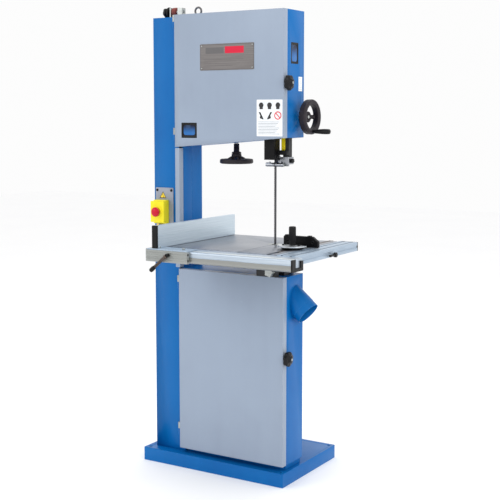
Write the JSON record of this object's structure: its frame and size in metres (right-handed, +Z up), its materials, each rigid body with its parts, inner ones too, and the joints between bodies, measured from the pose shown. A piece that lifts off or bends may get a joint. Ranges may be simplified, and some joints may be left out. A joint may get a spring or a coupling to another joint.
{
  "type": "band saw",
  "caption": "Floor-standing wood band saw with box column, two hinged wheel casings, tilting table with fence and mitre gauge, and a geared guide post.",
  "frame": {"origin": "centre of the base plate underside, on the floor", "axes": "+X to the operator right, +Y to the back, +Z up; the doors face -Y"},
  "size_m": [0.8774, 0.762, 1.922],
  "materials": {
    "frame_paint": "satin enamel",
    "door_paint": "satin enamel",
    "black_paint": "semi-gloss black",
    "machined_steel": "machined",
    "cast_iron_table": "ground",
    "cast_iron_black": "painted",
    "anodised_aluminium": "anodised",
    "black_plastic": "moulded",
    "handwheel_plastic": "moulded",
    "blade_steel": "blued",
    "tyre_rubber": "matt",
    "belt_rubber": "matt",
    "plate_metal": "brushed",
    "switch_yellow": "moulded",
    "stop_red": "moulded",
    "start_green": "moulded",
    "pointer_yellow": "painted",
    "motor_paint": "painted",
    "spring_steel": "oiled",
    "wheel_alloy": "cast",
    "dark_steel": "oiled"
  },
  "bodies": {
    "root": {"base_plate": "frame_paint", "column_front": "frame_paint", "column_back": "frame_paint", "blade_cover_strip": "door_paint", "upper_casing": "frame_paint", "lower_casing": "frame_paint", "lifting_eye": "machined_steel", "dust_port": "frame_paint", "lower_axle": "cast_iron_black", "saw_blade": "blade_steel", "tracking_bracket": "machined_steel", "post_bracket": "cast_iron_black", "lower_guides": "cast_iron_black", "trunnion_saddle": "cast_iron_black", "motor": "motor_paint", "drive_belt": "belt_rubber", "switch_unit": "switch_yellow"},
    "upper_door": {"upper_door": "door_paint", "upper_door_knuckles": "machined_steel", "door_plates": "plate_metal"},
    "lower_door": {"lower_door": "door_paint", "lower_door_knuckles": "machined_steel"},
    "upper_latch": {"upper_door_knob": "black_plastic"},
    "lower_latch": {"lower_door_knob": "black_plastic"},
    "upper_wheel": {"upper_wheel": "wheel_alloy", "tyres_upper": "tyre_rubber"},
    "lower_wheel": {"lower_wheel": "wheel_alloy", "tyres_lower": "tyre_rubber"},
    "carrier": {"wheel_carrier": "cast_iron_black", "tension_spring": "spring_steel"},
    "tensioner": {"tension_screw": "machined_steel", "tension_handwheel": "handwheel_plastic"},
    "tracking": {"tracking_knob": "black_plastic"},
    "guide_post": {"guide_post": "machined_steel", "blade_guard": "black_paint", "upper_guide_head": "machined_steel", "guide_pointer": "pointer_yellow"},
    "height_drive": {"pinion_shaft": "machined_steel", "height_handwheel": "handwheel_plastic"},
    "crank": {"crank_grip": "black_plastic"},
    "upper_roller": {"upper_thrust_roller": "machined_steel"},
    "lower_roller": {"lower_thrust_roller": "machined_steel"},
    "clamp_knob": {"guide_clamp_knob": "black_plastic"},
    "table": {"table": "cast_iron_table", "table_frame": "cast_iron_table", "table_insert": "anodised_aluminium", "trunnions": "cast_iron_black", "front_rail": "anodised_aluminium", "side_profile": "anodised_aluminium"},
    "tilt_lock": {"tilt_lock_knob": "black_plastic"},
    "profile_lock": {"profile_lever": "black_plastic"},
    "fence": {"fence": "anodised_aluminium"},
    "fence_lock": {"fence_lever": "dark_steel"},
    "mitre_slide": {"mitre_bar": "dark_steel"},
    "mitre_head": {"mitre_head": "black_paint"},
    "mitre_clamp": {"mitre_knob": "black_plastic"},
    "motor_shaft": {"motor_pulley": "machined_steel"},
    "switch_lid": {"switch_lid": "switch_yellow"},
    "stop_button": {"stop_button": "stop_red"},
    "start_button": {"start_button": "start_green"}
  },
  "joints": [
    {"name": "upper_door_hinge", "type": "hinge", "parent": "root", "child": "upper_door", "pos_m": [-0.1915, -0.1943, 1.6], "axis": [0, 0, -1], "range_deg": [0, 110]},
    {"name": "lower_door_hinge", "type": "hinge", "parent": "root", "child": "lower_door", "pos_m": [-0.1765, -0.1943, 0.46], "axis": [0, 0, -1], "range_deg": [0, 110]},
    {"name": "upper_latch_turn", "type": "hinge", "parent": "upper_door", "child": "upper_latch", "pos_m": [0.332, -0.1943, 1.598], "axis": [1, 0, 0], "range_deg": [0, 90]},
    {"name": "lower_latch_turn", "type": "hinge", "parent": "lower_door", "child": "lower_latch", "pos_m": [0.332, -0.1943, 0.517], "axis": [1, 0, 0], "range_deg": [0, 90]},
    {"name": "tension_travel", "type": "slide", "parent": "root", "child": "carrier", "axis": [0, 0, 1], "range_m": [-0.015, 0]},
    {"name": "tension_screw_turn", "type": "hinge", "parent": "carrier", "child": "tensioner", "pos_m": [0.038, -0.083, 1.3], "axis": [0, 0, 1], "range_deg": [-1900, 60]},
    {"name": "lower_wheel_spin", "type": "hinge", "parent": "root", "child": "lower_wheel", "pos_m": [0.038, -0.136, 0.6], "axis": [0, 1, 0], "continuous": true},
    {"name": "upper_wheel_spin", "type": "hinge", "parent": "carrier", "child": "upper_wheel", "pos_m": [0.038, -0.136, 1.64], "axis": [0, 1, 0], "continuous": true},
    {"name": "motor_spin", "type": "hinge", "parent": "root", "child": "motor_shaft", "pos_m": [0.113, -0.136, 0.225], "axis": [0, 1, 0], "continuous": true},
    {"name": "tracking_turn", "type": "hinge", "parent": "root", "child": "tracking", "pos_m": [-0.25, -0.115, 1.9], "axis": [1, 0, 0], "range_deg": [-180, 180]},
    {"name": "guide_height", "type": "slide", "parent": "root", "child": "guide_post", "axis": [0, 0, 1], "range_m": [-0.27, 0.01]},
    {"name": "height_wheel_turn", "type": "hinge", "parent": "root", "child": "height_drive", "pos_m": [0.332, -0.074, 1.467], "axis": [1, 0, 0], "range_deg": [-30, 780]},
    {"name": "crank_spin", "type": "hinge", "parent": "height_drive", "child": "crank", "pos_m": [0.4, -0.074, 1.41], "axis": [1, 0, 0], "continuous": true},
    {"name": "upper_roller_spin", "type": "hinge", "parent": "guide_post", "child": "upper_roller", "pos_m": [0.25345, -0.1112, 1.299], "axis": [1, 0, 0], "continuous": true},
    {"name": "lower_roller_spin", "type": "hinge", "parent": "root", "child": "lower_roller", "pos_m": [0.25345, -0.1112, 0.884], "axis": [1, 0, 0], "continuous": true},
    {"name": "clamp_knob_turn", "type": "hinge", "parent": "guide_post", "child": "clamp_knob", "pos_m": [0.31345, -0.114, 1.295], "axis": [1, 0, 0], "range_deg": [-90, 90]},
    {"name": "table_tilt", "type": "hinge", "parent": "root", "child": "table", "pos_m": [0.25345, -0.136, 0.962], "axis": [0, 1, 0], "range_deg": [0, 45]},
    {"name": "tilt_lock_turn", "type": "hinge", "parent": "root", "child": "tilt_lock", "pos_m": [0.28345, -0.24, 0.863], "axis": [0, 1, 0], "range_deg": [-90, 90]},
    {"name": "profile_lever_turn", "type": "hinge", "parent": "table", "child": "profile_lock", "pos_m": [0.50175, -0.113, 0.934], "axis": [1, 0, 0], "range_deg": [-70, 25]},
    {"name": "fence_travel", "type": "slide", "parent": "table", "child": "fence", "axis": [1, 0, 0], "range_m": [0, 0.222]},
    {"name": "fence_lever_turn", "type": "hinge", "parent": "fence", "child": "fence_lock", "pos_m": [0.002, -0.517, 0.9423], "axis": [0, 1, 0], "range_deg": [-50, 35]},
    {"name": "mitre_travel", "type": "slide", "parent": "table", "child": "mitre_slide", "axis": [0, 1, 0], "range_m": [-0.08, 0.08]},
    {"name": "mitre_swivel", "type": "hinge", "parent": "mitre_slide", "child": "mitre_head", "pos_m": [0.38845, -0.236, 0.962], "axis": [0, 0, 1], "range_deg": [-45, 45]},
    {"name": "mitre_clamp_turn", "type": "hinge", "parent": "mitre_head", "child": "mitre_clamp", "pos_m": [0.38845, -0.236, 0.962], "axis": [0, 0, 1], "range_deg": [-90, 90]},
    {"name": "lid_hinge", "type": "hinge", "parent": "root", "child": "switch_lid", "pos_m": [-0.264, -0.218, 1.118], "axis": [-1, 0, 0], "range_deg": [0, 80]},
    {"name": "stop_press", "type": "slide", "parent": "switch_lid", "child": "stop_button", "axis": [0, 1, 0], "range_m": [0, 0.004], "stiffness_N_per_m": 600},
    {"name": "start_press", "type": "slide", "parent": "root", "child": "start_button", "axis": [0, 1, 0], "range_m": [0, 0.003], "stiffness_N_per_m": 600}
  ],
  "couplings": [
    {"joint": "upper_wheel_spin", "follows": "lower_wheel_spin", "ratio": 1},
    {"joint": "motor_spin", "follows": "lower_wheel_spin", "ratio": 3.0303},
    {"joint": "tension_screw_turn", "follows": "tension_travel", "rad_per_m": 2094.4},
    {"joint": "height_wheel_turn", "follows": "guide_height", "rad_per_m": -50}
  ]
}
